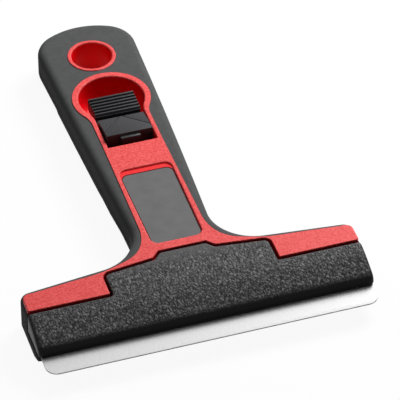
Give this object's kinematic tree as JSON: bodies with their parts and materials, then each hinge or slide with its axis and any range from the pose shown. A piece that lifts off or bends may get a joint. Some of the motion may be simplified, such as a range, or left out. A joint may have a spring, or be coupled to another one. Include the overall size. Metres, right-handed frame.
{
  "type": "ceramic hob scraper",
  "caption": "Flat T-shaped hob scraper with a wide steel blade held in a sprung jaw, opened by a thumb lever set in the hanging handle.",
  "frame": {"origin": "on the resting plane under the middle of the overall box, the scraper lying on its back", "axes": "+X along the blade to the right seen from the front, +Y along the handle from the cutting edge to the hanging end, +Z out of the front face"},
  "size_m": [0.1014, 0.1421, 0.0143],
  "materials": {
    "red_plastic": "bright warm red, fine sparkled satin",
    "soft_grip": "dark grey soft-touch, matte",
    "badge_grey": "plain dark grey, matte",
    "lever_plastic": "black, satin",
    "jaw_skin": "black, grained",
    "blade_steel": "light grey satin, ground edge",
    "bed_steel": "satin",
    "spring_steel": "drawn wire",
    "screw_steel": "zinc plated"
  },
  "bodies": {
    "handle": {"front_frame": "red_plastic", "front_grip": "soft_grip", "back_frame": "red_plastic", "back_grip": "soft_grip", "badge_plate": "badge_grey", "blade_bed": "bed_steel", "locating_rivets": "bed_steel", "pivot_pin": "bed_steel", "lever_spring": "spring_steel", "housing_screws": "screw_steel"},
    "rocker": {"press_lever": "lever_plastic", "jaw_bar": "lever_plastic", "jaw_cover": "jaw_skin", "jaw_screws": "screw_steel"},
    "blade": {"blade": "blade_steel"}
  },
  "joints": [
    {"name": "lever_press", "type": "hinge", "parent": "handle", "child": "rocker", "pos_m": [0, -0.02905, 0.0062], "axis": [-1, 0, 0], "range_deg": [0, 4], "stiffness_Nm_per_rad": 5.3, "springref_deg": -5.39, "deforming": ["lever_spring"]},
    {"name": "blade_slide", "type": "slide", "parent": "handle", "child": "blade", "axis": [0, -1, 0], "range_m": [0, 0.012]}
  ]
}
